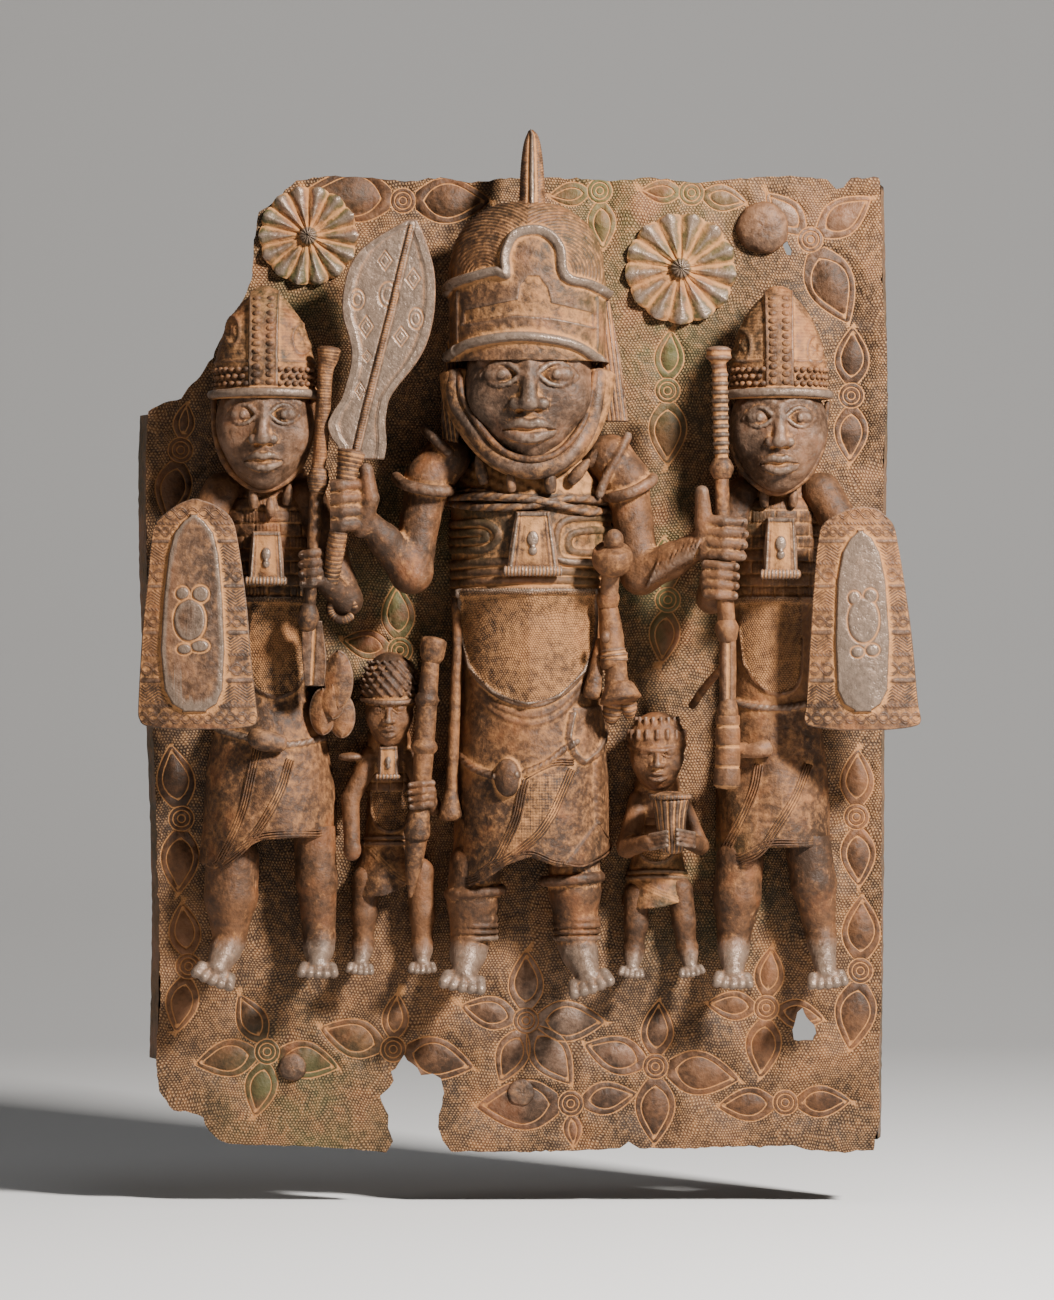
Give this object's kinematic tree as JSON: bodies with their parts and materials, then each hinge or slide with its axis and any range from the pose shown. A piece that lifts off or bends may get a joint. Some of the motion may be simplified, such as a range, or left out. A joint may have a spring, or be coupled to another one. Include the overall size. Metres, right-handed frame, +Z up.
{
  "type": "relief plaque",
  "caption": "Cast brass relief plaque with an armed chief between shield bearers and small attendants on a stippled, flower-engraved panel.",
  "frame": {"origin": "middle of the panel's flat back face, where it bears on the post behind it", "axes": "+X to the viewer's right, +Z up along the panel, +Y out of the back, so the relief faces -Y"},
  "size_m": [0.389, 0.0826, 0.5085],
  "materials": {
    "patinated_brass": "cast, brown patina with tan dust in the recesses and worn high places",
    "nail_brass": "cast, dark grey-brown patina, worn smooth"
  },
  "bodies": {
    "root": {"plaque": "patinated_brass", "nail_upper_right": "nail_brass", "nail_lower_left": "nail_brass", "nail_lower_middle": "nail_brass"}
  },
  "joints": []
}
